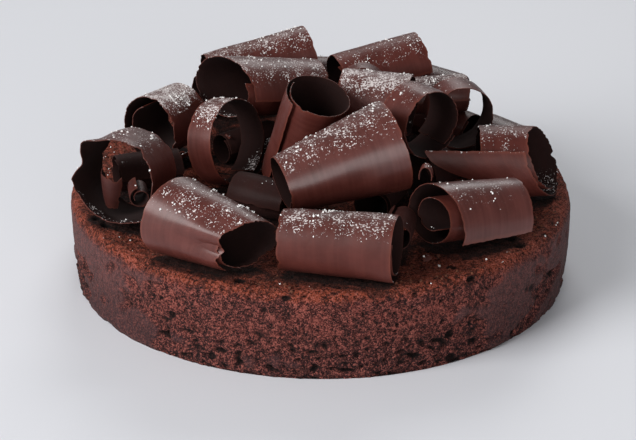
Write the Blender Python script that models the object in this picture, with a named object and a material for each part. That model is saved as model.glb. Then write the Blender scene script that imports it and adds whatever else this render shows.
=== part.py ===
"""A round flourless chocolate cake under a heap of big chocolate curls.

Metres, +Z up. The origin is the centre of the cake's flat base, on the surface that it stands on.
Every curl is one thin sheet of chocolate, rolled up. It is made flat, rolled by a formula, and lowered
onto what already lies below it, so that it rests in the heap and overlaps nothing.
"""

from dataclasses import dataclass
from math import cos, pi, radians, sin

import bmesh
import bpy
from mathutils import Matrix, Vector
from mathutils.bvhtree import BVHTree

MM = 0.001

# The cake
CAKE_RADIUS = 115.5 * MM
CAKE_HEIGHT = 42.0 * MM
BASE_RADIUS = 115.0 * MM
BASE_ROUNDING = 1.5 * MM
RIM_ROUNDING = 5.0 * MM
RIM_STEPS = 4
SUNK_BY = 2.5 * MM  # the middle of the top sank as it cooled
SUNK_RADIUS = 88.0 * MM
CAKE_STEPS = 72

# The curls
SHEET_THICKNESS = 1.2 * MM
REST_GAP = 0.4 * MM  # left between a curl and what it lies on
DROP_STEP = 1.0 * MM
DROP_FINE = 0.02 * MM
FLARE_SHARE = 0.2  # of the sheet, from its outer edge
TAIL_SHARE = 0.1  # the same, for a corner that is drawn out
STEPS_PER_TURN = 24
STEPS_ALONG = 1


@dataclass
class Curl:
    """One rolled sheet. Lengths are in millimetres and angles in degrees."""

    name: str
    held: tuple  # the middle of its axis, before it is lowered onto the heap
    length: float  # along the axis of the roll
    radius: tuple  # outer radius at the two ends
    heading: float  # direction of the axis on the plan, from +X towards +Y
    tilt: float = 0.0  # how far the second end is raised
    turns: float = 1.2  # how far the sheet goes round
    start: float = 0.0  # where its outer edge is, round the axis, from level towards up
    tighten: float = 0.25  # how far the roll closes in from its outer to its inner edge
    flare: float = 0.0  # how far the outer edge springs away
    squash: float = 1.0  # height of the roll against its width
    tail: float = 0.0  # how far the outer edge's first corner is drawn out
    slant_first: tuple = (0.0, 0.0)  # slope of each end's plane, sideways and upwards
    slant_second: tuple = (0.0, 0.0)
    mirrored: bool = False  # rolled the other way round


# in the order in which they are laid on the cake
CURLS = [
    # the front row, on the rim
    Curl(
        "curl_front_left", (-45.5, -86, 60), 41, (18.5, 13.5), -35,
        tilt=-5.5, start=-60, tighten=0.2, slant_first=(0.2, 0), slant_second=(0.55, 0.2),
    ),
    Curl("curl_front_centre", (8, -94.5, 59), 49, (13.5, 15), -13.5, tilt=1.7, start=-60, turns=1.25),
    Curl(
        "curl_front_right", (66, -60, 57), 42, (17, 14.5), 26,
        tilt=-4, start=-20, turns=1.9, tighten=0.65, flare=0.15, slant_first=(-0.3, 0),
    ),
    # the bottom layer
    Curl("curl_front_dark", (34, -72, 52), 20, (7, 7), 80, start=120),
    Curl(
        "curl_left_wide", (-85, -40, 61.5), 27, (20, 19.5), 70,
        tilt=-8, start=-20, turns=1.03, tighten=0.08, flare=0.2, mirrored=True,
    ),
    Curl("curl_left_shard", (-91, -43, 59), 20, (4.5, 7.5), -70, tilt=76, start=-115, turns=0.42),
    Curl("curl_left_tiny", (-79, -50, 57), 12, (5, 5), 100, start=100, turns=1.3, tighten=0.45),
    Curl("curl_left_low", (-79, -9, 51), 30, (9.5, 9.5), 20, turns=1.3),
    Curl(
        "curl_left_dusted", (-72, 27, 59), 25, (19, 18.5), 53,
        start=-30, turns=1.6, tighten=0.4, mirrored=True,
    ),
    Curl(
        "curl_right_long", (85.5, -15, 60), 30, (18, 17.5), 0,
        start=35, turns=1.35, tail=25, mirrored=True, slant_second=(0.35, -0.45),
    ),
    Curl("curl_low_left", (-25, -37, 50), 28, (10, 10), -30),
    Curl(
        "curl_centre_left", (-43, -3, 63), 14, (21, 21), -35,
        tilt=12, start=195, turns=1.15, tighten=0.12, flare=0.25,
    ),
    Curl("curl_centre_upright", (-7, -9.5, 68), 47, (15, 15.5), -47, tilt=68, tighten=0.14),
    Curl("curl_low_centre", (28, -30, 50), 32, (9.5, 9.5), 70),
    Curl("curl_low_open", (49.5, -13, 52), 14, (13.2, 13.2), 35),
    Curl("curl_low_middle", (24, 12, 52), 26, (11, 11), 100),
    Curl("curl_low_back", (18.5, 41, 52), 30, (11.5, 11.5), 10),
    Curl("curl_low_right", (61.5, 12, 47.5), 22, (8, 8), 20),
    Curl("curl_low_back_left", (-35.5, 30.5, 49), 30, (8, 8), 40),
    Curl("curl_low_back_right", (60, 48, 52), 32, (10.5, 10.5), -40),
    Curl("curl_right_behind", (86.5, 20.5, 54), 26, (12, 12), -50),
    # round the back
    Curl("curl_rim_back_left", (-43, 89, 53), 40, (11, 11), 30, turns=1.3),
    Curl("curl_rim_back", (4, 99, 53.5), 38, (12, 13), -4, turns=1.3),
    Curl("curl_rim_back_right", (51.5, 90, 54), 42, (12.5, 11.5), -35, turns=1.3),
    # the upper layer
    Curl(
        "curl_centre_cone", (7, -50, 76), 53, (13.3, 21.3), 20,
        tilt=13, start=-60, turns=1.1, tighten=0.15,
    ),
    Curl(
        "curl_small_loop", (44.5, -62, 79), 5, (3.3, 3.3), 80,
        start=-20, turns=0.61, tighten=0.1, squash=1.6,
    ),
    Curl(
        "curl_back_flat", (-24.5, 36.5, 70.5), 48, (20, 18), 25,
        tilt=-8, turns=1.1, squash=0.8, slant_first=(-0.4, 0),
    ),
    Curl("curl_back_left", (-30.5, 68.5, 72.5), 52, (14.2, 14.8), 20, tilt=9),
    Curl(
        "curl_right_open", (43.5, -19, 81), 19, (16, 16.5), -53,
        start=-150, turns=1.08, tighten=0.12,
    ),
    Curl("curl_centre_dusted", (25.5, 12, 77), 33, (16.5, 16), -12),
    Curl("curl_back_arch", (19, 36, 79), 8, (12.5, 12.5), 88, turns=1.1, tighten=0.16),
    Curl("curl_back_right", (28, 66, 70), 44, (16.2, 16.2), 21, tilt=8.5),
    Curl("curl_back_dark", (56, 40, 72), 26, (10, 10), 10),
    Curl("curl_right_ring", (63, 12, 70.5), 15, (15.5, 15.5), -75, turns=0.97, tighten=0.05),
]


def roll_sheet(curl, steps_round, steps_along):
    """The sheet as a bmesh: flat and one unit square, then rolled about the X axis."""
    sheet = bmesh.new()
    bmesh.ops.create_grid(sheet, x_segments=steps_along, y_segments=steps_round, size=0.5)
    turn = -1 if curl.mirrored else 1
    for vert in sheet.verts:
        along = vert.co.x + 0.5
        round_ = vert.co.y + 0.5
        angle = radians(curl.start) + turn * 2 * pi * curl.turns * round_
        reach = curl.radius[0] + (curl.radius[1] - curl.radius[0]) * along
        reach *= 1 - curl.tighten * round_
        reach *= 1 + curl.flare * max(0.0, 1 - round_ / FLARE_SHARE) ** 2
        y = -reach * cos(angle)
        z = reach * sin(angle) * curl.squash
        first = -curl.length / 2 + curl.slant_first[0] * y + curl.slant_first[1] * z
        first -= curl.tail * max(0.0, 1 - (round_ / TAIL_SHARE) ** 2)
        second = curl.length / 2 + curl.slant_second[0] * y + curl.slant_second[1] * z
        vert.co = Vector((first + (second - first) * along, y, z)) * MM
    return sheet


def thicken(sheet):
    """Gives the sheet its thickness and closes its edges."""
    bmesh.ops.recalc_face_normals(sheet, faces=sheet.faces)
    bmesh.ops.solidify(sheet, geom=sheet.faces[:], thickness=SHEET_THICKNESS)
    bmesh.ops.recalc_face_normals(sheet, faces=sheet.faces)


def turned(curl):
    """The roll's rotation, from its own axis along X to its place in the heap."""
    return Matrix.Rotation(radians(curl.heading), 4, "Z") @ Matrix.Rotation(
        radians(-curl.tilt), 4, "Y"
    )


def tree_of(shape, lift=0.0):
    """The shape's faces, raised, in the form that tells whether two shapes cut each other."""
    points = [vert.co + Vector((0, 0, lift)) for vert in shape.verts]
    faces = [[vert.index for vert in face.verts] for face in shape.faces]
    return BVHTree.FromPolygons(points, faces)


def lowered(shape, heap):
    """How far the shape sinks, from where it is held, until it rests on the heap."""
    shape.verts.index_update()
    below = [tree_of(other) for other in heap]

    def hits(drop):
        tree = tree_of(shape, -drop)
        return any(tree.overlap(other) for other in below)

    drop = 0.0
    while not hits(drop):
        drop += DROP_STEP
    free, blocked = drop - DROP_STEP, drop
    while blocked - free > DROP_FINE:
        middle = (free + blocked) / 2
        if hits(middle):
            blocked = middle
        else:
            free = middle
    return free - REST_GAP


def plain_material(name, colour, roughness):
    material = bpy.data.materials.new(name)
    material.use_nodes = True
    shader = material.node_tree.nodes["Principled BSDF"]
    shader.inputs["Base Color"].default_value = (*colour, 1)
    shader.inputs["Roughness"].default_value = roughness
    shader.inputs["Metallic"].default_value = 0
    return material


def add_object(name, shape, material):
    mesh = bpy.data.meshes.new(name)
    shape.to_mesh(mesh)
    mesh.materials.append(material)
    mesh.shade_smooth()
    mesh.set_sharp_from_angle(angle=radians(40))
    obj = bpy.data.objects.new(name, mesh)
    bpy.context.scene.collection.objects.link(obj)
    return obj


def cake_profile():
    """Half of the cake's section, from the middle of its base round to the middle of its top."""
    points = [(0, 0), (BASE_RADIUS - BASE_ROUNDING, 0), (BASE_RADIUS, BASE_ROUNDING)]
    centre = (CAKE_RADIUS - RIM_ROUNDING, CAKE_HEIGHT - RIM_ROUNDING)
    for step in range(RIM_STEPS + 1):
        angle = pi / 2 * step / RIM_STEPS
        points.append(
            (centre[0] + RIM_ROUNDING * cos(angle), centre[1] + RIM_ROUNDING * sin(angle))
        )
    points += [(SUNK_RADIUS, CAKE_HEIGHT - SUNK_BY), (0, CAKE_HEIGHT - SUNK_BY)]
    return points


def build_cake(material):
    shape = bmesh.new()
    verts = [shape.verts.new((x, 0, z)) for x, z in cake_profile()]
    edges = [shape.edges.new(pair) for pair in zip(verts, verts[1:])]
    bmesh.ops.spin(
        shape,
        geom=verts + edges,
        cent=(0, 0, 0),
        axis=(0, 0, 1),
        angle=2 * pi,
        steps=CAKE_STEPS,
        use_merge=True,
    )
    bmesh.ops.remove_doubles(shape, verts=shape.verts, dist=0.01 * MM)
    bmesh.ops.recalc_face_normals(shape, faces=shape.faces)
    shape.verts.index_update()
    add_object("cake", shape, material)
    return shape


def build_curl(curl, material, heap):
    round_steps = max(8, round(STEPS_PER_TURN * curl.turns))
    shape = roll_sheet(curl, round_steps, STEPS_ALONG)
    thicken(shape)
    shape.transform(turned(curl))
    shape.transform(Matrix.Translation(Vector(curl.held) * MM))
    shape.verts.index_update()
    shape.transform(Matrix.Translation((0, 0, -lowered(shape, heap))))
    add_object(curl.name, shape, material)
    return shape


def main():
    for obj in list(bpy.data.objects):
        bpy.data.objects.remove(obj)
    crumb = plain_material("baked_crumb", (0.10, 0.035, 0.022), 0.85)
    chocolate = plain_material("dark_chocolate", (0.055, 0.020, 0.014), 0.42)
    heap = [build_cake(crumb)]
    for curl in CURLS:
        heap.append(build_curl(curl, chocolate, heap))
    for shape in heap:
        shape.free()


main()
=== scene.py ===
# %% [markdown]
# # A chocolate cake under big chocolate curls
#
# The real thing is a whole round flourless chocolate cake, as wide as a dinner plate's middle. A heap of
# big curls, each scraped from a block of dark chocolate, hides most of its top, and icing sugar is sifted
# over them. The solid model already has the cake and every curl at its real size and place. This script
# gives them their looks: a crumb with pits and a baked skin, thin torn sheets of chocolate, sugar, crumbs
# and light.

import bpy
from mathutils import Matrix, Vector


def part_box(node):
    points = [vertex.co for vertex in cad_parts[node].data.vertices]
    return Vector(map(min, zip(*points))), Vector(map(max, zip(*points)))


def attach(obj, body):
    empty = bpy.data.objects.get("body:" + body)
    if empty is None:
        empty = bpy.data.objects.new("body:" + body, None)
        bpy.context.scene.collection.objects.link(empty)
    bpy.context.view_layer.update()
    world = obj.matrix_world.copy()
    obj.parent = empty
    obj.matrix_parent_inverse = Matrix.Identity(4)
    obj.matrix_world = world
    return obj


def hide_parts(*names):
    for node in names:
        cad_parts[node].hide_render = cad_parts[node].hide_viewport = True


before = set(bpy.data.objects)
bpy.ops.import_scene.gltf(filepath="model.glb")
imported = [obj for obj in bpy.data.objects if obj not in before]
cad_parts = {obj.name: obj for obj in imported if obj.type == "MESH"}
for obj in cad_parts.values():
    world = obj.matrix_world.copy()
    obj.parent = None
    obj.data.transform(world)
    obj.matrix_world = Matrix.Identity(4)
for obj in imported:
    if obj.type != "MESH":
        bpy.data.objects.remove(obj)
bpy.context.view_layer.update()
print("solids:", len(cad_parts))

# %% [markdown]
# Lengths are worked out in millimetres, as a baker would measure them, and turned into metres at the end.
# Blender's own Perlin noise gives every uneven edge and surface. It gives the same number at the same place
# each time, so nothing here changes from run to run.

# %% Tools for shapes
import random
from dataclasses import dataclass
from math import cos, exp, hypot, pi, radians, sin

import bmesh
import bpy
import numpy as np
from mathutils import Matrix, Vector, noise

MM = 0.001


def uneven(x, y=0.0, z=0.0):
    """Smooth random height between about -1 and 1."""
    return noise.noise(Vector((x, y, z)))


def eased(value, low, high):
    """0 below low, 1 above high, and a soft step between."""
    share = min(1.0, max(0.0, (value - low) / (high - low)))
    return share * share * (3 - 2 * share)


def make_object(name, mesh, material):
    mesh.materials.append(material)
    piece = bpy.data.objects.new(name, mesh)
    bpy.context.scene.collection.objects.link(piece)
    return piece


def add_values(mesh, name, values):
    """Keeps one number for each vertex, which a material can read."""
    mesh.attributes.new(name, "FLOAT", "POINT").data.foreach_set("value", values)


# %% [markdown]
# A material is a sum of masks: where the skin is, where a pit is, where the sugar lies. Written as nodes one
# by one, such sums are hard to read. So a small class wraps a node's output, and Python's own signs add
# the Math nodes: `1 - mask` is a node too.

# %% Tools for materials
def paint(red, green, blue):
    """A colour as a screen shows it, from 0 to 255, as the linear light that a shader wants."""
    return tuple((part / 255) ** 2.2 for part in (red, green, blue)) + (1.0,)


class Value:
    """A node's output that takes part in sums."""

    def __init__(self, finish, output):
        self.finish = finish
        self.output = output

    def math(self, operation, first, second):
        return self.finish.node("ShaderNodeMath", {"operation": operation}, {0: first, 1: second})[0]

    def __add__(self, other):
        return self.math("ADD", self, other)

    def __sub__(self, other):
        return self.math("SUBTRACT", self, other)

    def __rsub__(self, other):
        return self.math("SUBTRACT", other, self)

    def __mul__(self, other):
        return self.math("MULTIPLY", self, other)

    __radd__ = __add__
    __rmul__ = __mul__

    def step(self, low, high):
        """0 below low, 1 above high, and a soft step between."""
        settings = {"interpolation_type": "SMOOTHSTEP"}
        return self.finish.node("ShaderNodeMapRange", settings, {"Value": self, 1: low, 2: high})[0]


class Finish:
    """One material, and short ways to the nodes that it is made of."""

    def __init__(self, name):
        self.material = bpy.data.materials.new(name)
        self.material.use_nodes = True
        self.tree = self.material.node_tree
        self.shader = self.tree.nodes["Principled BSDF"]
        self.place = self.node("ShaderNodeTexCoord")["Object"]

    def connect(self, socket, value):
        if isinstance(value, Value):
            self.tree.links.new(value.output, socket)
        else:
            socket.default_value = value

    def node(self, kind, settings=None, inputs=None):
        """Adds a node, sets it, feeds its inputs, and returns its outputs."""
        made = self.tree.nodes.new(kind)
        for name, setting in (settings or {}).items():
            setattr(made, name, setting)
        for name, value in (inputs or {}).items():
            self.connect(made.inputs[name], value)
        outputs = {output.name: Value(self, output) for output in made.outputs if output.enabled}
        outputs.update(enumerate(list(outputs.values())))
        return outputs

    def kept(self, name):
        """A number kept on the mesh."""
        return self.node("ShaderNodeAttribute", {"attribute_name": name})["Fac"]

    def grain(self, size, detail=3.0, roughness=0.55, place=None):
        """Noise from 0 to 1, with lumps of about that size in metres."""
        inputs = {"Vector": place or self.place, "Scale": 1 / size, "Detail": detail}
        inputs["Roughness"] = roughness
        return self.node("ShaderNodeTexNoise", {}, inputs)[0]

    def blend(self, mask, first, second):
        """The first colour where the mask is 0, and the second where it is 1."""
        made = self.tree.nodes.new("ShaderNodeMix")
        made.data_type = "RGBA"
        self.connect(made.inputs[0], mask)
        self.connect(made.inputs[6], first)
        self.connect(made.inputs[7], second)
        return Value(self, made.outputs[2])

    def bump(self, height, depth, under=None):
        """A surface raised by height times depth, in metres."""
        inputs = {"Height": height, "Distance": depth, "Strength": 1.0}
        if under:
            inputs["Normal"] = under
        return self.node("ShaderNodeBump", {}, inputs)["Normal"]

    def set(self, **sockets):
        for name, value in sockets.items():
            self.connect(self.shader.inputs[name.replace("_", " ")], value)


# %% [markdown]
# ## Floor, light and camera
#
# A pale floor under a pale sky gives the soft, even light of a bright kitchen. A large window in front, to
# the left and above draws a broad sheen along each curl, which is what makes chocolate look like chocolate.
# A weaker one behind lights the rims, and a low one in front opens the shadows on the cake's side. The
# camera has a long lens and looks down at about 26 degrees, from less than a metre away.

# %% Set up the studio
VIEW_DISTANCE = 0.9
VIEW_HEIGHT_ANGLE = radians(26.25)
VIEW_ROLL = radians(0.47)
LENS = 108.1
VIEW_SHIFT = (-0.0035, 0.0618)


def add_camera():
    camera = bpy.data.objects.new("camera", bpy.data.cameras.new("camera"))
    camera.data.lens = LENS
    camera.data.shift_x, camera.data.shift_y = VIEW_SHIFT
    turn = Matrix.Rotation(pi / 2 - VIEW_HEIGHT_ANGLE, 4, "X") @ Matrix.Rotation(VIEW_ROLL, 4, "Z")
    place = Vector((0, -VIEW_DISTANCE * cos(VIEW_HEIGHT_ANGLE), VIEW_DISTANCE * sin(VIEW_HEIGHT_ANGLE)))
    camera.matrix_world = Matrix.Translation(place) @ turn
    bpy.context.scene.collection.objects.link(camera)
    bpy.context.scene.camera = camera


def add_panel(name, place, size, power):
    """A soft square light that faces the cake."""
    light = bpy.data.lights.new(name, "AREA")
    light.size = size
    light.energy = power
    panel = bpy.data.objects.new(name, light)
    aim = Vector((0, 0, 0.05)) - Vector(place)
    panel.matrix_world = Matrix.Translation(place) @ aim.to_track_quat("-Z", "Y").to_matrix().to_4x4()
    bpy.context.scene.collection.objects.link(panel)


def add_floor():
    finish = Finish("floor_paint")
    finish.set(Base_Color=paint(228, 229, 234), Roughness=0.6)
    shape = bmesh.new()
    bmesh.ops.create_grid(shape, x_segments=1, y_segments=1, size=3)
    mesh = bpy.data.meshes.new("floor")
    shape.to_mesh(mesh)
    shape.free()
    make_object("floor", mesh, finish.material)


def add_sky(colour, strength):
    world = bpy.data.worlds.new("pale_room")
    world.use_nodes = True
    world.node_tree.nodes["Background"].inputs["Color"].default_value = (*colour, 1)
    world.node_tree.nodes["Background"].inputs["Strength"].default_value = strength
    bpy.context.scene.world = world


bpy.context.scene.view_settings.view_transform = "Standard"
add_camera()
add_floor()
add_sky((0.95, 0.97, 1.0), 0.2)
add_panel("window", (-1.8, -1.2, 1.25), 1.4, 66)
add_panel("back_window", (0.2, 1.6, 1.3), 1.0, 11)
add_panel("front_fill", (0.35, -1.7, 0.3), 1.1, 14)

# %% [markdown]
# ## The cake
#
# The real cake is baked without flour in a round tin. Its side is a dense, moist crumb, with air holes of 1
# to 4 mm, and here and there a smooth skin where it lay against the tin, whose grey is partly painted sheen.
# The lower part is rougher, with clefts, and the foot isn't straight. A bump in the material alone would
# leave the outline as smooth as a plastic tub. So the section is spun finely enough to move each point: the
# pits and lumps are real.

# %% Spin the cake
CAKE_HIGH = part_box("cake")[1]
CAKE_RADIUS = CAKE_HIGH.x / MM
CAKE_HEIGHT = CAKE_HIGH.z / MM
RIM_ROUNDING = 5.0
SUNK_BY = 2.5
SUNK_RADIUS = 88.0
HIDDEN_RADIUS = 62.0  # nearer the middle, the heap hides the cake
FOOT_TUCK = 1.0
CAKE_STEPS = 840


def along_line(start, end, count):
    """Points from start up to, but not at, end."""
    return [tuple(a + (b - a) * i / count for a, b in zip(start, end)) for i in range(count)]


def cake_section():
    """Half of the section, from under the foot, up the side and over the rim to the middle."""
    edge = CAKE_RADIUS
    top = CAKE_HEIGHT
    points = along_line((0, 0), (edge - 6, 0), 3)
    points += along_line((edge - 6, 0), (edge - FOOT_TUCK, 0), 4)
    points += along_line((edge - FOOT_TUCK, 0), (edge, FOOT_TUCK + 1), 3)
    points += along_line((edge, FOOT_TUCK + 1), (edge, top - RIM_ROUNDING), 44)
    centre = (edge - RIM_ROUNDING, top - RIM_ROUNDING)
    for step in range(8):
        angle = pi / 2 * step / 8
        points.append((centre[0] + RIM_ROUNDING * cos(angle), centre[1] + RIM_ROUNDING * sin(angle)))
    points += along_line((edge - RIM_ROUNDING, top), (SUNK_RADIUS, top - SUNK_BY), 22)
    points += along_line((SUNK_RADIUS, top - SUNK_BY), (HIDDEN_RADIUS, top - SUNK_BY), 14)
    points += along_line((HIDDEN_RADIUS, top - SUNK_BY), (0, top - SUNK_BY), 5)
    return points + [(0, top - SUNK_BY)]


def spin_cake():
    shape = bmesh.new()
    verts = [shape.verts.new((x * MM, 0, z * MM)) for x, z in cake_section()]
    edges = [shape.edges.new(pair) for pair in zip(verts, verts[1:])]
    bmesh.ops.spin(
        shape,
        geom=verts + edges,
        cent=(0, 0, 0),
        axis=(0, 0, 1),
        angle=2 * pi,
        steps=CAKE_STEPS,
        use_merge=True,
    )
    bmesh.ops.remove_doubles(shape, verts=shape.verts, dist=0.01 * MM)
    bmesh.ops.recalc_face_normals(shape, faces=shape.faces)
    return shape


cake_shape = spin_cake()
print("cake faces:", len(cake_shape.faces))

# %% [markdown]
# Each point moves inwards only, so the cake never grows past its solid. Three things are worked out for it:
# how much skin there is, how deep it lies in a pit, and how rough the crumb is. The first two are kept on
# the mesh, because the material needs the same pattern: a pit gets painted shade, as no light gets into it.

# %% Press the pits and lumps into the crumb
SKIN_AND_SHEEN_SIDES = 60.0  # skin and its painted sheen are strongest on the left and right, where the side turns away from the camera


def skin_at(x, y, z):
    """1 where the smooth baked skin is whole, 0 where it came off with the tin; most on the left and right,
    where its grey also stands for a painted sheen.
    """
    patches = uneven(x / 24, y / 24, z / 15 + 3) + 0.6 * uneven(x / 9, y / 9, z / 7)
    skin_and_sheen_sides = eased(abs(x), SKIN_AND_SHEEN_SIDES - 25, SKIN_AND_SHEEN_SIDES + 40)
    height = 1 - eased(z, CAKE_HEIGHT - 8, CAKE_HEIGHT - 3)
    return eased(patches + skin_and_sheen_sides, 0.6, 0.85) * height


def pit_at(x, y, z, size, share, seed):
    """Depth of an air hole from 0 to 1: one in each cell of space, in some share of the cells."""
    spot = Vector((x / size + seed, y / size, z / size * 1.15))
    distances, centres = noise.voronoi(spot)
    chance = (uneven(centres[0].x * 7.7, centres[0].y * 7.7, centres[0].z * 7.7) + 1) / 2
    if chance > share:
        return 0.0
    return 1 - eased(distances[0], 0.10, 0.34)


def crumb_depth(x, y, z):
    """How far inwards a point moves, in mm, how much of that is a hollow, and the skin."""
    skin = skin_at(x, y, z)
    low = 1 - eased(z, 8, 27)
    lumps = 0.45 * (uneven(x / 3.1, y / 3.1, z / 2.6) + 1)
    lumps += 0.25 * (uneven(x / 1.3, y / 1.3, z / 1.2) + 1)
    waves = 0.5 * (uneven(x / 31, y / 31, z / 22) + 1)
    clefts = 4.4 * max(0.0, uneven(x / 4.6, y / 4.6, z / 2.2 + x / 18) - 0.16)
    clefts *= (0.2 + 0.8 * low) * (1 - skin)
    large = pit_at(x, y, z, 9.0, 0.36, 0) * 2.4
    small = pit_at(x, y, z, 3.6, 0.42, 40) * 1.1
    pits = max(large, small) * (1 - 0.55 * skin)
    lumps *= (1 - 0.75 * skin) * (1 + 0.8 * low)
    depth = waves + lumps + clefts + pits + 0.35 * (1 - skin)
    return depth, pits + 0.8 * clefts, skin


def shape_crumb(shape):
    """Moves every point of the cake, and returns the pit and the skin at each."""
    shape.normal_update()
    pits, skins = [], []
    for vert in shape.verts:
        x, y, z = vert.co / MM
        depth, pit, skin = crumb_depth(x, y, z)
        middle = 1 - eased(hypot(x, y), HIDDEN_RADIUS, HIDDEN_RADIUS + 10)
        under = 1 if vert.normal.z < -0.5 and hypot(x, y) < CAKE_RADIUS - 3 else 0
        foot = 1 - eased(z, 0, 3)
        inwards = Vector((vert.normal.x, vert.normal.y, max(0.0, vert.normal.z)))
        ragged = foot * 1.3 * max(0.0, uneven(x / 6, y / 6, 9) + 0.3)
        vert.co -= inwards * ((depth * (1 - middle) + ragged) * (1 - under)) * MM
        pits.append(pit)
        skins.append(skin)
    return pits, skins


cake_pits, cake_skins = shape_crumb(cake_shape)
print("deepest pit in mm:", round(max(cake_pits), 2))
print("share of skin:", round(sum(cake_skins) / len(cake_skins), 2))

# %% [markdown]
# ## The colour of the crumb
#
# It isn't one brown. The open crumb is a warm reddish brown, the rim is toasted to an orange brown, and
# single grains of crumb are lighter or darker than the next. The skin is a greyish purple, partly its own
# colour and partly a painted sheen on the left and right. The rest is painted shade: the right side and the
# foot are darker, and thin cracks, where a wandering noise is close to its middle value, small holes, the
# pits and the top under the curls, where little light gets in, are nearly black. The bump is finer than the
# points of the mesh.

# %% Bake the crumb's finish
def crumb_finish():
    finish = Finish("baked_crumb")
    place = finish.node("ShaderNodeSeparateXYZ", {}, {0: finish.place})
    height = place["Z"]
    lumps = finish.grain(0.0035, 4)
    grains = finish.grain(0.0012, 3, 0.65) * 0.6 + finish.grain(0.0006, 2, 0.6) * 0.4
    specks = finish.grain(0.0026, 5, 0.75)
    wander = finish.grain(0.006, 4, 0.65) - 0.5
    clouds = finish.grain(0.022, 3)
    skin = finish.kept("skin")
    pit = finish.kept("pit")
    shade_under_curls = finish.kept("shade_under_curls")
    bare = 1 - skin * 0.6
    crumb = finish.blend(lumps.step(0.36, 0.64), paint(64, 29, 27), paint(122, 62, 55))
    crumb = finish.blend(clouds.step(0.4, 0.6) * 0.5, crumb, paint(70, 38, 38))
    rim = (height + (lumps - 0.5) * 0.010).step(0.0345, 0.0395)
    crumb = finish.blend(rim * 0.85, crumb, paint(136, 62, 40))
    # painted sheen, in part: the skin's greyish purple, laid most on the left and right sides
    crumb = finish.blend(skin * (1 - rim) * 0.75, crumb, paint(88, 58, 58))
    # painted shade: the cake's right side, away from the window, is made darker
    right = place["X"].step(0.045, 0.11)
    crumb = finish.blend(right * 0.2, crumb, paint(52, 32, 32))
    # painted shade: darker towards the foot, where the clefts and the floor shade it
    foot = 1 - (height + (clouds - 0.5) * 0.04).step(0.004, 0.030)
    crumb = finish.blend(foot * 0.7, crumb, paint(46, 24, 28))
    crumb = finish.blend(grains.step(0.49, 0.6) * 0.65 * bare, crumb, paint(166, 96, 84))
    crumb = finish.blend((1 - grains.step(0.38, 0.49)) * 0.92 * bare, crumb, paint(18, 7, 8))
    # painted shade: thin cracks and small air holes are painted nearly black, for the shade inside them
    painted_crack_shade = (1 - (wander * wander).step(0.0, 0.0018)) * clouds.step(0.38, 0.5) * bare
    crumb = finish.blend(painted_crack_shade * 0.7, crumb, paint(16, 7, 7))
    painted_hole_shade = 1 - specks.step(0.34, 0.4)
    crumb = finish.blend(painted_hole_shade * 0.9, crumb, paint(14, 7, 7))
    # painted shade: the top under the curls is painted nearly black
    crumb = finish.blend((shade_under_curls + (lumps - 0.5) * 0.5).step(0.3, 1.0) * 0.9, crumb, paint(18, 9, 7))
    # painted shade: the pits and clefts are painted nearly black
    crumb = finish.blend(pit.step(0.1, 1.0) * 0.9, crumb, paint(14, 7, 6))
    coarse = finish.bump(lumps, 0.002)
    finish.set(
        Base_Color=crumb,
        Roughness=0.9 - skin * 0.25,
        Specular_IOR_Level=0.25,
        Normal=finish.bump(grains, 0.0014, coarse),
    )
    return finish.material


crumb_material = crumb_finish()


def finish_cake():
    mesh = bpy.data.meshes.new("cake_crumb")
    cake_shape.to_mesh(mesh)
    cake_shape.free()
    add_values(mesh, "pit", cake_pits)
    add_values(mesh, "skin", cake_skins)
    mesh.shade_smooth()
    piece = make_object("cake_crumb", mesh, crumb_material)
    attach(piece, "root")
    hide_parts("cake")
    return piece


cake = finish_cake()
print("cake triangles:", sum(len(face.vertices) - 2 for face in cake.data.polygons))

# %% [markdown]
# ## The curls
#
# A curl is one thin sheet of chocolate that rolled up as the blade scraped it off. The recipe of each one
# is the same as in the solid model: how long and wide the roll is, where its outer edge starts, how far it
# goes round, and how it tightens. Here the same sheet is rolled much more finely, and gets what a thick
# plain solid can't show: thin edges, torn ends, dents and waves. What is torn away is inside the solid.

# %% The recipes of the curls
FLARE_SHARE = 0.2  # the flare and the tail are in the first part of the way round
TAIL_SHARE = 0.1
SOLID_STEPS = 24  # facets that the solid curl has for each turn


@dataclass
class Curl:
    """One rolled sheet. Lengths are in millimetres and angles in degrees."""

    name: str
    held: tuple
    length: float
    radius: tuple
    heading: float
    tilt: float = 0.0
    turns: float = 1.2
    start: float = 0.0
    tighten: float = 0.25
    flare: float = 0.0
    squash: float = 1.0
    tail: float = 0.0
    slant_first: tuple = (0.0, 0.0)
    slant_second: tuple = (0.0, 0.0)
    mirrored: bool = False
    torn_ends: tuple = (0.8, 0.8)  # how deeply the two ends of the roll are torn
    torn_sides: tuple = (0.8, 1.0)  # the same for the sheet's outer and inner edge
    wave: float = 0.35
    sugar: float = 0.5
    shade: float = 0.0  # painted shade: how much darker its chocolate is painted, from 0 to 1, most where it lies under the others
    shine: float = 0.6
    dents: tuple = ()  # place along, place round, depth, and the spread both ways


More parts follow.
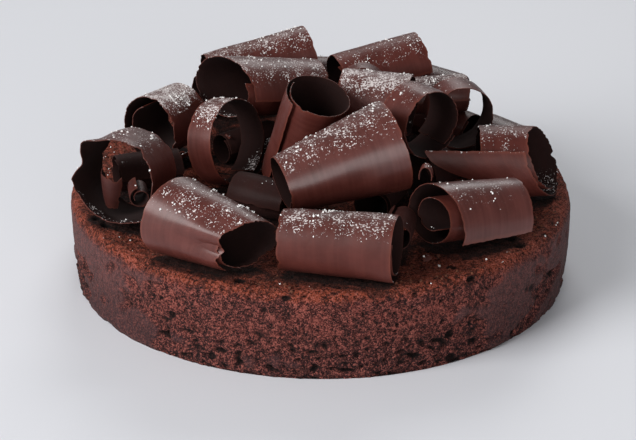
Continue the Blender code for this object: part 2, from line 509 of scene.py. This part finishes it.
CURLS = [
    # the front row, on the rim
    Curl(
        "curl_front_left", (-45.5, -86, 60), 41, (18.5, 13.5), -35,
        tilt=-5.5, start=-60, tighten=0.2, slant_first=(0.2, 0), slant_second=(0.55, 0.2),
        torn_ends=(0.9, 3.6), sugar=0.8, shine=0.65,
        dents=((0.98, 0.135, 3.6, 0.42, 0.036), (0.9, 0.2, -1.4, 0.4, 0.035)),
    ),
    Curl(
        "curl_front_centre", (8, -94.5, 59), 49, (13.5, 15), -13.5,
        tilt=1.7, start=-60, turns=1.25, torn_ends=(1.4, 0.3), sugar=1.2, shade=0.15, shine=0.05,
    ),
    Curl(
        "curl_front_right", (66, -60, 57), 42, (17, 14.5), 26,
        tilt=-4, start=-20, turns=1.9, tighten=0.65, flare=0.15, slant_first=(-0.3, 0),
        torn_ends=(1.1, 1.8), sugar=0.35, shine=1.2,
    ),
    # the bottom layer
    Curl(
        "curl_front_dark", (34, -72, 52), 20, (7, 7), 80,
        start=120, torn_ends=(1.2, 1.2), sugar=0.1, shade=0.7,
    ),
    Curl(
        "curl_left_wide", (-85, -40, 61.5), 27, (20, 19.5), 70,
        tilt=-8, start=-20, turns=1.03, tighten=0.08, flare=0.2, mirrored=True,
        torn_ends=(2.6, 1.4), wave=0.9, sugar=0.7, shine=0.4,
        dents=(
            (0.0, 0.55, -3.2, 0.3, 0.035),
            (0.0, 0.48, 2.0, 0.25, 0.03),
            (0.0, 0.4, -1.8, 0.25, 0.03),
        ),
    ),
    Curl(
        "curl_left_shard", (-91, -43, 59), 20, (4.5, 7.5), -70,
        tilt=76, start=-115, turns=0.42, torn_ends=(2.0, 4.0), torn_sides=(2.0, 2.0), sugar=0.1,
        shade=0.5,
    ),
    Curl(
        "curl_left_tiny", (-79, -50, 57), 12, (5, 5), 100,
        start=100, turns=1.3, tighten=0.45, torn_ends=(0.5, 0.5), torn_sides=(0.4, 0.4), wave=0.15,
        sugar=0.1, shade=0.3,
    ),
    Curl("curl_left_low", (-79, -9, 51), 30, (9.5, 9.5), 20, turns=1.3, sugar=0.15, shade=0.9),
    Curl(
        "curl_left_dusted", (-72, 27, 59), 25, (19, 18.5), 53,
        start=-30, turns=1.6, tighten=0.4, mirrored=True, torn_ends=(2.0, 0.8), sugar=1.9,
        shine=0.4,
    ),
    Curl(
        "curl_right_long", (85.5, -15, 60), 30, (18, 17.5), 0,
        start=35, turns=1.35, tail=25, mirrored=True, slant_second=(0.35, -0.45),
        torn_ends=(0.8, 2.0), sugar=0.6, shine=0.05,
    ),
    Curl("curl_low_left", (-25, -37, 50), 28, (10, 10), -30, sugar=0.1, shade=0.9),
    Curl(
        "curl_centre_left", (-43, -3, 63), 14, (21, 21), -35,
        tilt=12, start=195, turns=1.15, tighten=0.12, flare=0.25, torn_ends=(0.6, 0.9), sugar=1.5,
        shine=0.7,
    ),
    Curl(
        "curl_centre_upright", (-7, -9.5, 68), 47, (15, 15.5), -47,
        tilt=68, tighten=0.14, torn_ends=(0.5, 1.0), sugar=0.35, shine=0.6,
    ),
    Curl("curl_low_centre", (28, -30, 50), 32, (9.5, 9.5), 70, sugar=0.1, shade=0.85),
    Curl(
        "curl_low_open", (49.5, -13, 52), 14, (13.2, 13.2), 35,
        torn_ends=(1.6, 1.6), sugar=0.3, shade=0.65,
    ),
    Curl("curl_low_middle", (24, 12, 52), 26, (11, 11), 100, sugar=0.2, shade=0.9),
    Curl("curl_low_back", (18.5, 41, 52), 30, (11.5, 11.5), 10, sugar=0.5, shade=0.6),
    Curl("curl_low_right", (61.5, 12, 47.5), 22, (8, 8), 20, sugar=0.2, shade=0.8),
    Curl("curl_low_back_left", (-35.5, 30.5, 49), 30, (8, 8), 40, sugar=0.2, shade=0.9),
    Curl("curl_low_back_right", (60, 48, 52), 32, (10.5, 10.5), -40, sugar=0.5, shade=0.4),
    Curl("curl_right_behind", (86.5, 20.5, 54), 26, (12, 12), -50, torn_ends=(1.8, 1.8), sugar=0.9),
    # round the back
    Curl("curl_rim_back_left", (-43, 89, 53), 40, (11, 11), 30, turns=1.3, sugar=0.8),
    Curl("curl_rim_back", (4, 99, 53.5), 38, (12, 13), -4, turns=1.3, sugar=0.8),
    Curl("curl_rim_back_right", (51.5, 90, 54), 42, (12.5, 11.5), -35, turns=1.3, sugar=0.8),
    # the upper layer
    Curl(
        "curl_centre_cone", (7, -50, 76), 53, (13.3, 21.3), 20,
        tilt=13, start=-60, turns=1.1, tighten=0.15, torn_ends=(0.7, 0.8), sugar=0.95, shine=1.4,
    ),
    Curl(
        "curl_small_loop", (44.5, -62, 79), 5, (3.3, 3.3), 80,
        start=-20, turns=0.61, tighten=0.1, squash=1.6, torn_ends=(0.6, 0.6),
        torn_sides=(1.2, 1.2), wave=0.3, sugar=0.2,
    ),
    Curl(
        "curl_back_flat", (-24.5, 36.5, 70.5), 48, (20, 18), 25,
        tilt=-8, turns=1.1, squash=0.8, slant_first=(-0.4, 0), torn_ends=(1.6, 1.0), sugar=1.0,
    ),
    Curl(
        "curl_back_left", (-30.5, 68.5, 72.5), 52, (14.2, 14.8), 20,
        tilt=9, torn_ends=(0.9, 0.7), sugar=1.1, shine=0.5,
    ),
    Curl(
        "curl_right_open", (43.5, -19, 81), 19, (16, 16.5), -53,
        start=-150, turns=1.08, tighten=0.12, torn_ends=(1.2, 2.6), torn_sides=(2.0, 1.5),
        wave=0.6, sugar=0.4,
    ),
    Curl(
        "curl_centre_dusted", (25.5, 12, 77), 33, (16.5, 16), -12,
        torn_ends=(0.8, 2.8), sugar=1.9, shine=0.4,
    ),
    Curl(
        "curl_back_arch", (19, 36, 79), 8, (12.5, 12.5), 88,
        turns=1.1, tighten=0.16, torn_ends=(0.5, 0.5), sugar=0.3,
    ),
    Curl(
        "curl_back_right", (28, 66, 70), 44, (16.2, 16.2), 21,
        tilt=8.5, torn_ends=(0.8, 1.4), torn_sides=(1.4, 1.0), sugar=0.6, shine=0.05,
    ),
    Curl(
        "curl_back_dark", (56, 40, 72), 26, (10, 10), 10,
        torn_ends=(1.0, 1.0), sugar=1.7, shade=0.4,
    ),
    Curl(
        "curl_right_ring", (63, 12, 70.5), 15, (15.5, 15.5), -75,
        turns=0.97, tighten=0.05, torn_ends=(0.8, 1.4), sugar=0.35, shine=0.5,
    ),
]
print("curls:", len(CURLS))

# %% [markdown]
# The sheet starts as a flat grid, one square wide. Its four edges are pulled in by an uneven amount, which
# tears them. Then each point is wound round the X axis, pushed in or out a little by the waves and dents,
# and the roll is turned and put where the solid curl lies. The solid curl had been lowered until it rested,
# so its box tells how far.

# %% Roll a sheet
STEP_ALONG = 1.2
STEP_ROUND = 0.8
SHEET_THICKNESS = 0.9
EDGE_THICKNESS = 0.45  # as a share of the sheet's thickness
EDGE_REACH = 3.0
UV_LENGTH = 100.0  # millimetres of sheet for one unit of its UV map


def torn(place, depth, seed):
    """How much of an edge is torn away, in mm, at a place along it in mm."""
    broad = 0.45 + 0.55 * uneven(place / 11, seed)
    teeth = abs(uneven(place / 2.3, seed + 5.5))
    chips = max(0.0, uneven(place / 4.6, seed + 9.5) - 0.18)
    return max(0.0, depth * (0.45 * broad + 0.55 * teeth + 1.7 * chips))


def wound(curl, along, round_, push=0.0):
    """The place of one point of the sheet on the roll, round the X axis, in mm."""
    turn = -1 if curl.mirrored else 1
    angle = radians(curl.start) + turn * 2 * pi * curl.turns * round_
    reach = curl.radius[0] + (curl.radius[1] - curl.radius[0]) * along
    reach *= 1 - curl.tighten * round_
    reach *= 1 + curl.flare * max(0.0, 1 - round_ / FLARE_SHARE) ** 2
    reach += push
    y = -reach * cos(angle)
    z = reach * sin(angle) * curl.squash
    first = -curl.length / 2 + curl.slant_first[0] * y + curl.slant_first[1] * z
    first -= curl.tail * max(0.0, 1 - (round_ / TAIL_SHARE) ** 2)
    second = curl.length / 2 + curl.slant_second[0] * y + curl.slant_second[1] * z
    return Vector((first + (second - first) * along, y, z))


def distance_round(curl):
    """The sheet's width, measured round the roll, in mm."""
    return pi * sum(curl.radius) * (1 - curl.tighten / 2) * curl.turns


def push_at(curl, along, round_, seed):
    """How far the sheet leans out of a true roll, in mm."""
    width = distance_round(curl)
    push = curl.wave * uneven(along * curl.length / 16, round_ * width / 11, seed)
    to_end = min(along, 1 - along) * curl.length
    push -= 0.5 * curl.wave * (1 - eased(to_end, 0, 6)) * (1 + uneven(round_ * width / 7, seed))
    for place, turn, depth, spread_along, spread_round in curl.dents:
        away_along = (along - place) / spread_along
        away_round = (round_ - turn) / spread_round
        push -= depth * exp(-(away_along**2) - away_round**2)
    return push


def rolled_sheet(curl, seed, step_along=STEP_ALONG, step_round=STEP_ROUND):
    """The sheet, torn and rolled, with a UV map of its flat measure and its distance to the edge."""
    width = distance_round(curl)
    sheet = bmesh.new()
    bmesh.ops.create_grid(
        sheet,
        x_segments=max(4, round(curl.length / step_along)),
        y_segments=max(6, round(width / step_round)),
        size=0.5,
    )
    flat = sheet.loops.layers.uv.new("sheet")
    edge = sheet.verts.layers.float.new("edge")
    places = []
    for vert in sheet.verts:
        along, round_ = vert.co.x + 0.5, vert.co.y + 0.5
        low_along = torn(round_ * width, curl.torn_ends[0], seed) / curl.length
        high_along = 1 - torn(round_ * width, curl.torn_ends[1], seed + 20) / curl.length
        low_round = torn(along * curl.length, curl.torn_sides[0], seed + 40) / width
        high_round = 1 - torn(along * curl.length, curl.torn_sides[1], seed + 60) / width
        along = low_along + (high_along - low_along) * along
        round_ = low_round + (high_round - low_round) * round_
        vert[edge] = min(
            (along - low_along) * curl.length,
            (high_along - along) * curl.length,
            (round_ - low_round) * width,
            (high_round - round_) * width,
        )
        vert.co = wound(curl, along, round_, push_at(curl, along, round_, seed))
        places.append((along * curl.length / UV_LENGTH, round_ * width / UV_LENGTH))
    sheet.verts.index_update()
    for face in sheet.faces:
        for loop in face.loops:
            loop[flat].uv = places[loop.vert.index]
    face_outwards(sheet)
    return sheet


def face_outwards(sheet):
    """Turns the faces away from the roll's axis."""
    sheet.normal_update()
    outwards = sum(face.normal.yz.dot(face.calc_center_median().yz) for face in sheet.faces)
    if outwards < 0:
        bmesh.ops.reverse_faces(sheet, faces=sheet.faces)


sample = rolled_sheet(CURLS[0], 1)
print(CURLS[0].name, "has", len(sample.faces), "faces before it gets its thickness")
sample.free()

# %% [markdown]
# Each sheet gets its thickness with a Solidify modifier. A vertex group tells it how thick the sheet is at
# each point, so the edges run out thin, as scraped chocolate does. The outer face stays where the solid's
# is, and the wall grows inwards.

# %% Lay the sheet in the heap
def turned(curl):
    """The roll's rotation, from its own axis along X to its place in the heap."""
    swing = Matrix.Rotation(radians(curl.heading), 4, "Z")
    return swing @ Matrix.Rotation(radians(-curl.tilt), 4, "Y")


def placed(curl):
    """The matrix from the roll's own frame, in mm, to its place at rest, in metres."""
    held = Matrix.Scale(MM, 4) @ Matrix.Translation(curl.held) @ turned(curl)
    plain = bmesh.new()
    steps = max(8, round(SOLID_STEPS * curl.turns))
    bmesh.ops.create_grid(plain, x_segments=1, y_segments=steps, size=0.5)
    for vert in plain.verts:
        vert.co = wound(curl, vert.co.x + 0.5, vert.co.y + 0.5)
    lowest = min((held @ vert.co).z for vert in plain.verts)
    plain.free()
    return Matrix.Translation((0, 0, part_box(curl.name)[0].z - lowest)) @ held


def thickened(name, mesh, thickness):
    """The mesh with a wall that grows inwards, thinner where its group says so."""
    rough = bpy.data.objects.new(name, mesh)
    bpy.context.scene.collection.objects.link(rough)
    group = rough.vertex_groups.new(name="thick")
    for vert, edge in enumerate(mesh.attributes["edge"].data):
        group.add([vert], eased(edge.value, 0, EDGE_REACH), "REPLACE")
    wall = rough.modifiers.new("wall", "SOLIDIFY")
    wall.thickness = thickness
    wall.offset = -1
    wall.use_even_offset = True
    wall.vertex_group = group.name
    wall.thickness_vertex_group = EDGE_THICKNESS
    whole = bpy.data.meshes.new_from_object(rough.evaluated_get(bpy.context.evaluated_depsgraph_get()))
    bpy.data.objects.remove(rough)
    whole.name = name
    whole.shade_smooth()
    whole.set_sharp_from_angle(angle=radians(55))
    return whole


def inner_shares(mesh, place):
    """1 at each point whose face looks towards the roll's axis, and 0 where it looks outwards."""
    back = place.inverted()
    found = []
    for vert in mesh.vertices:
        radius = (back @ vert.co).yz.normalized()
        facing = (back.to_3x3() @ vert.normal).normalized().yz
        found.append(eased(-radius.dot(facing), -0.1, 0.35))
    return found


def shaded(shares, shade):
    """The same shares, with the outer faces painted darker too, as shade."""
    return [max(share, shade) for share in shares]


def curl_mesh(curl, seed):
    place = placed(curl)
    sheet = rolled_sheet(curl, seed)
    sheet.transform(place)
    mesh = bpy.data.meshes.new(curl.name + "_sheet")
    sheet.to_mesh(mesh)
    sheet.free()
    whole = thickened(curl.name + "_sheet", mesh, SHEET_THICKNESS * MM)
    # painted shade: the inner faces, and whole curls low in the heap, are painted darker
    add_values(whole, "painted_shade", shaded(inner_shares(whole, place), curl.shade))
    add_values(whole, "shine", [curl.shine] * len(whole.vertices))
    return whole


# %% [markdown]
# ## The look of the chocolate
#
# Dark chocolate is a deep brown with a satin face. The blade leaves fine scratches round the roll, so the
# streaks are long round the curl and narrow along it: they read the sheet's own UV map. Where the sheet
# runs out thin, the light that gets through is painted in as a reddish edge. The inner faces, and the curls
# that lie under the others, are painted nearly black, as shade. Fine sugar makes a pale veil of specks on
# what faces the sky, and only where nothing lies above it.

# %% Temper the chocolate
def chocolate_finish():
    finish = Finish("dark_chocolate")
    sheet = finish.node("ShaderNodeUVMap", {"uv_map": "sheet"})["UV"]
    stretch = {"operation": "MULTIPLY"}
    fine_lines = finish.node("ShaderNodeVectorMath", stretch, {0: sheet, 1: (240, 5, 1)})[0]
    broad_lines = finish.node("ShaderNodeVectorMath", stretch, {0: sheet, 1: (50, 2.5, 1)})[0]
    fine = finish.grain(1, 2, place=fine_lines)
    broad = finish.grain(1, 3, place=broad_lines)
    clouds = finish.grain(0.012, 3)
    specks = finish.grain(0.0008, 2, 0.6)
    dust = finish.grain(0.005, 3)
    edge = finish.kept("edge")
    sugar = finish.kept("sugar")
    painted_shade = finish.kept("painted_shade")
    shine = finish.kept("shine")
    brown = finish.blend(clouds.step(0.3, 0.7), paint(75, 37, 32), paint(87, 45, 40))
    brown = finish.blend(broad.step(0.35, 0.7) * 0.22, brown, paint(106, 58, 50))
    # painted light: where the sheet runs out thin, the light coming through is painted in as a reddish edge
    thin_edge_light = 1 - edge.step(0.0, 1.5)
    brown = finish.blend(thin_edge_light * 0.45, brown, paint(114, 60, 47))
    # painted shade: inner faces and curls under the others turn nearly black
    brown = finish.blend(painted_shade * 0.88, brown, paint(16, 8, 7))
    veil = (specks + (dust - 0.5) * 0.5 + (sugar - 1) * 0.09).step(0.58, 0.66) * sugar.step(0.05, 0.5)
    brown = finish.blend(veil * 0.85, brown, paint(226, 218, 216))
    haze = (sugar - 0.6).step(0.0, 1.2) * dust.step(0.3, 0.7)
    brown = finish.blend(haze * 0.16, brown, paint(176, 162, 160))
    matt = 0.46 + (broad - 0.5) * 0.16 + (fine - 0.5) * 0.1 + veil * 0.4 + painted_shade * 0.45
    sheen = shine * (1 - painted_shade) * (1 - veil) * (0.55 + (broad - 0.5) * 0.4)
    lines = finish.bump(fine, 0.00004)
    finish.set(
        Base_Color=brown,
        Roughness=matt,
        Specular_IOR_Level=0.22,
        Coat_Weight=sheen,
        Coat_Roughness=0.3,
        Normal=finish.bump(clouds, 0.0004, lines),
    )
    return finish.material


chocolate = chocolate_finish()


def add_curl(curl, seed):
    mesh = curl_mesh(curl, seed)
    piece = make_object(curl.name + "_sheet", mesh, chocolate)
    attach(piece, "root")
    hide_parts(curl.name)
    return piece


curl_pieces = [add_curl(curl, 3.7 * place + 1) for place, curl in enumerate(CURLS)]
print("curl triangles:", sum(2 * len(piece.data.polygons) for piece in curl_pieces))

# %% [markdown]
# ## Shavings
#
# Scraping a block also gives splinters. They lie in the hollows between the big curls and on the cake's
# top. Each is a small bent scrap, rolled by the same recipe, and let down onto what lies below it.

# %% Scatter the shavings
HEAP_RADIUS = 96.0
SHAVING_COUNT = 150
SHAVING_TOP = 0.056  # metres: what would land higher than this lies on a curl, and is left out
SCRAP_THICKNESS = 0.6
ABOVE_ALL = 0.2  # metres: higher than the top of the heap
UP = Vector((0, 0, 1))

chance = random.Random(4)
bpy.context.view_layer.update()


def cast(origin, direction):
    """Where a ray first meets the cake or its curls: the place and the face's direction, or None."""
    layers = bpy.context.evaluated_depsgraph_get()
    met, place, normal, _, _, _ = bpy.context.scene.ray_cast(layers, origin, direction)
    return (place, normal) if met and place.z > MM else None


def scrap_mesh(index):
    size = chance.uniform(1.5, 5.0)
    scrap = Curl(
        "scrap", (0, 0, 0), size, (chance.uniform(1.2, 3), chance.uniform(1.2, 3)), 0,
        turns=chance.uniform(0.15, 0.5), torn_ends=(0.3 * size, 0.3 * size), torn_sides=(0.7, 0.7),
        start=60, wave=0.3,
    )
    sheet = rolled_sheet(scrap, index * 1.9, 0.7, 0.7)
    low = min(vert.co.z for vert in sheet.verts)
    high = max(vert.co.z for vert in sheet.verts)
    sheet.transform(Matrix.Translation((0, 0, -(low + high) / 2)))
    mesh = bpy.data.meshes.new("scrap")
    sheet.to_mesh(mesh)
    sheet.free()
    mesh.transform(Matrix.Scale(MM, 4))
    return thickened("scrap", mesh, SCRAP_THICKNESS * MM)


def scatter_shavings():
    heap = bmesh.new()
    for index in range(SHAVING_COUNT):
        angle, reach = chance.uniform(0, 2 * pi), HEAP_RADIUS * chance.random() ** 0.6
        met = cast(Vector((reach * cos(angle) * MM, reach * sin(angle) * MM, ABOVE_ALL)), -UP)
        if not met or met[1].z < 0.6 or met[0].z > SHAVING_TOP:
            continue
        mesh = scrap_mesh(index)
        lean = met[1].to_track_quat("Z", "X").to_matrix().to_4x4()
        spin = Matrix.Rotation(chance.uniform(0, 2 * pi), 4, "Z")
        rock = Matrix.Rotation(chance.uniform(-0.5, 0.5), 4, "X")
        mesh.transform(Matrix.Translation(met[0] + met[1] * 0.8 * MM) @ lean @ spin @ rock)
        heap.from_mesh(mesh)
        bpy.data.meshes.remove(mesh)
    mesh = bpy.data.meshes.new("chocolate_shavings")
    heap.to_mesh(mesh)
    heap.free()
    # painted shade: the shavings, low between the curls, are painted darker
    add_values(mesh, "painted_shade", [0.4] * len(mesh.vertices))
    return mesh


shavings_mesh = scatter_shavings()
shavings = make_object("chocolate_shavings", shavings_mesh, chocolate)
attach(shavings, "root")
print("shaving triangles:", 2 * len(shavings_mesh.polygons))

# %% [markdown]
# ## Icing sugar
#
# Sugar falls straight down from a sieve. So a point of a curl is dusted if it faces up and a line from it to
# the sky meets nothing. That gives the veil in the chocolate's finish, and it tells where the loose grains
# lie: small rough lumps, more of them in patches, as a tapped sieve lets them fall.

# %% Find what faces the sky
COVER_LEANS = ((0.25, 0, 1), (-0.25, 0.1, 1), (0, -0.45, 1), (0, 0.25, 1))  # a ray for each
TOP_FROM = 0.03  # metres: the cake's top and rim are higher than this


def sky_at(mesh):
    """1 at each point that faces up with nothing above it, 0 where sugar can't fall."""
    found = []
    for vert in mesh.vertices:
        facing = eased(vert.normal.z, 0.42, 0.9)
        if facing > 0 and cast(vert.co + vert.normal * 0.5 * MM + UP * 0.3 * MM, UP):
            facing = 0.0
        found.append(facing)
    return found


def dust_curls():
    for curl, piece in zip(CURLS, curl_pieces):
        add_values(piece.data, "sugar", [curl.sugar * share for share in sky_at(piece.data)])
    add_values(shavings_mesh, "sugar", [0.4 * share for share in sky_at(shavings_mesh)])


def cover_crumb():
    """Keeps, for each point of the cake's top, how much of the sky above it the curls hide, for the painted
    shade under them.
    """
    shade_under_curls = []
    for vert in cake.data.vertices:
        hidden = 0.0
        if vert.co.z > TOP_FROM and vert.normal.z > 0.1:
            start = vert.co + vert.normal * MM
            met = [cast(start, Vector(lean)) is not None for lean in COVER_LEANS]
            hidden = sum(met) / len(COVER_LEANS)
        shade_under_curls.append(hidden)
    add_values(cake.data, "shade_under_curls", shade_under_curls)


dust_curls()
cover_crumb()
dusted = [
    value.value > 0.1 for piece in curl_pieces for value in piece.data.attributes["sugar"].data
]
print("share of the curls' points with sugar:", round(sum(dusted) / len(dusted), 2))

# %% [markdown]
# A grain has only eight faces, because there are thousands of them. They are one mesh, made from arrays: one
# small octahedron, copied to every place with its own size, turn and jitter.

# %% Sift the sugar
GRAIN_DENSITY = 0.3  # grains for each square millimetre of fully dusted chocolate
GRAIN_LIMIT = 20000
RIM_SPECKS = 900  # tries: most of them find a curl, or no clump
RIM_FROM = 94.0
RIM_CLUMPS = 0.28  # how high the noise has to be for a clump


def clumped(place):
    """Where the sieve let more fall: from 0 to about 1.5."""
    x, y, z = place / MM
    patch = eased(uneven(x / 9, y / 9, z / 9), -0.1, 0.4)
    clump = eased(uneven(x / 2.6 + 31, y / 2.6, z / 2.6), 0.16, 0.42)
    return 0.05 + patch * (0.08 + 3.4 * clump)


def grain_places(piece):
    """Random places on a dusted piece, with the direction that each faces."""
    mesh = piece.data
    sugar = [value.value for value in mesh.attributes["sugar"].data]
    found = []
    for face in mesh.polygons:
        amount = sum(sugar[vert] for vert in face.vertices) / len(face.vertices)
        if amount < 0.02:
            continue
        expected = face.area / MM**2 * amount * GRAIN_DENSITY * clumped(face.center)
        for _ in range(int(expected + chance.random())):
            corners = [mesh.vertices[vert].co for vert in face.vertices]
            shares = [chance.random() for _ in corners]
            weighted = sum((corner * share for corner, share in zip(corners, shares)), Vector())
            found.append((weighted / sum(shares), face.normal.copy()))
    return found


def copied(name, base, places, sizes, jitter, seed):
    """One mesh with the base shape at every place, each with its own turn and uneven form."""
    shape = bmesh.new()
    base(shape)
    points = np.array([vert.co[:] for vert in shape.verts])
    shape.verts.index_update()
    faces = np.array([[vert.index for vert in face.verts] for face in shape.faces])
    shape.free()
    dice = np.random.RandomState(seed)
    count = len(places)
    spins, _ = np.linalg.qr(dice.normal(size=(count, 3, 3)))
    spins[np.linalg.det(spins) < 0, :, 0] *= -1
    bodies = points[None] * (1 + jitter * dice.uniform(-1, 1, (count, len(points), 1)))
    bodies = bodies @ spins * np.array(sizes)[:, None, None] * MM
    bodies += np.array([place[:] for place in places])[:, None, :]
    corners = faces[None] + (np.arange(count) * len(points))[:, None, None]
    mesh = bpy.data.meshes.new(name)
    mesh.from_pydata(bodies.reshape(-1, 3).tolist(), [], corners.reshape(-1, faces.shape[1]).tolist())
    return mesh


def octahedron(shape):
    bmesh.ops.create_uvsphere(shape, u_segments=4, v_segments=2, radius=1)


def rim_specks():
    """The few grains that fell past the curls, in clumps on the cake's rim."""
    found = []
    for _ in range(RIM_SPECKS):
        angle, reach = chance.uniform(0, 2 * pi), chance.uniform(RIM_FROM, CAKE_RADIUS - 2)
        x, y = reach * cos(angle), reach * sin(angle)
        if uneven(x / 6, y / 6, 20) <= RIM_CLUMPS:
            continue
        met = cast(Vector((x * MM, y * MM, ABOVE_ALL)), -UP)
        if met and met[0].z < (CAKE_HEIGHT + 1) * MM:
            found.append(met)
    return found


def sift_sugar():
    found = [spot for piece in curl_pieces + [shavings] for spot in grain_places(piece)] + rim_specks()
    chance.shuffle(found)
    found = found[:GRAIN_LIMIT]
    sizes = [0.15 + 0.45 * chance.random() ** 2.2 for _ in found]
    places = [place + normal * size * 0.4 * MM for (place, normal), size in zip(found, sizes)]
    return copied("icing_sugar", octahedron, places, sizes, 0.3, 5)


def sugar_finish():
    finish = Finish("icing_sugar_grains")
    lumps = finish.grain(0.0004, 2)
    white = finish.blend(lumps, paint(236, 232, 230), paint(252, 250, 248))
    finish.set(Base_Color=white, Roughness=0.85 + lumps * 0.1, Normal=finish.bump(lumps, 0.0001))
    return finish.material


sugar = make_object("icing_sugar", sift_sugar(), sugar_finish())
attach(sugar, "root")
print("sugar triangles:", len(sugar.data.polygons))

# %% [markdown]
# ## Crumbs
#
# The cake's top sheds crumbs when the curls are laid on it. They lie between the curls and the rim.

# %% Scatter the crumbs
CRUMB_COUNT = 1500
CRUMBS_FROM = 70.0  # nearer the middle, the heap hides them


def pebble(shape):
    bmesh.ops.create_icosphere(shape, subdivisions=1, radius=1)


def scatter_crumbs():
    places = []
    for _ in range(CRUMB_COUNT):
        angle, reach = chance.uniform(0, 2 * pi), chance.uniform(CRUMBS_FROM, CAKE_RADIUS - 3)
        met = cast(Vector((reach * cos(angle) * MM, reach * sin(angle) * MM, ABOVE_ALL)), -UP)
        if met and met[0].z < (CAKE_HEIGHT + 1) * MM:
            places.append(met[0])
    sizes = [0.3 + 0.6 * chance.random() ** 2.5 for _ in places]
    return copied("cake_crumbs", pebble, places, sizes, 0.3, 8)


def loose_crumb_finish():
    finish = Finish("loose_crumb")
    lumps = finish.grain(0.0012, 3)
    brown = finish.blend(lumps.step(0.35, 0.65), paint(58, 30, 24), paint(118, 68, 46))
    finish.set(Base_Color=brown, Roughness=0.9 - lumps * 0.1, Normal=finish.bump(lumps, 0.0004))
    return finish.material


crumbs = make_object("cake_crumbs", scatter_crumbs(), loose_crumb_finish())
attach(crumbs, "root")
print("crumb triangles:", len(crumbs.data.polygons))
